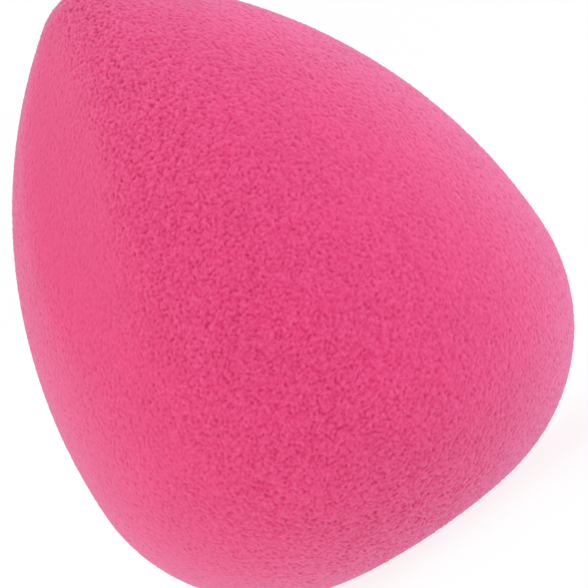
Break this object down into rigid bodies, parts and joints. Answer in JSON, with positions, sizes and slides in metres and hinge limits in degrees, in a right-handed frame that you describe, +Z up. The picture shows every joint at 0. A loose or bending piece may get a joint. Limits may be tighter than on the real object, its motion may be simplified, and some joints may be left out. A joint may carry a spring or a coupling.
{
  "type": "makeup sponge",
  "caption": "Soft blunt-teardrop makeup sponge with a rounded tip, a wide belly, a gently flatter side and a domed base that it stands on.",
  "frame": {"origin": "middle of the small flat patch on the base that the sponge rests on", "axes": "+Z up the sponge's axis to its tip; the flatter side faces -Y"},
  "size_m": [0.044, 0.044, 0.0538],
  "materials": {
    "skin_foam": "dense pink polyurethane foam skin, matte and finely pebbled",
    "core_foam": "open-cell pink polyurethane foam, matte"
  },
  "bodies": {
    "root": {"foam_core": "core_foam", "moulded_skin": "skin_foam"}
  },
  "joints": []
}
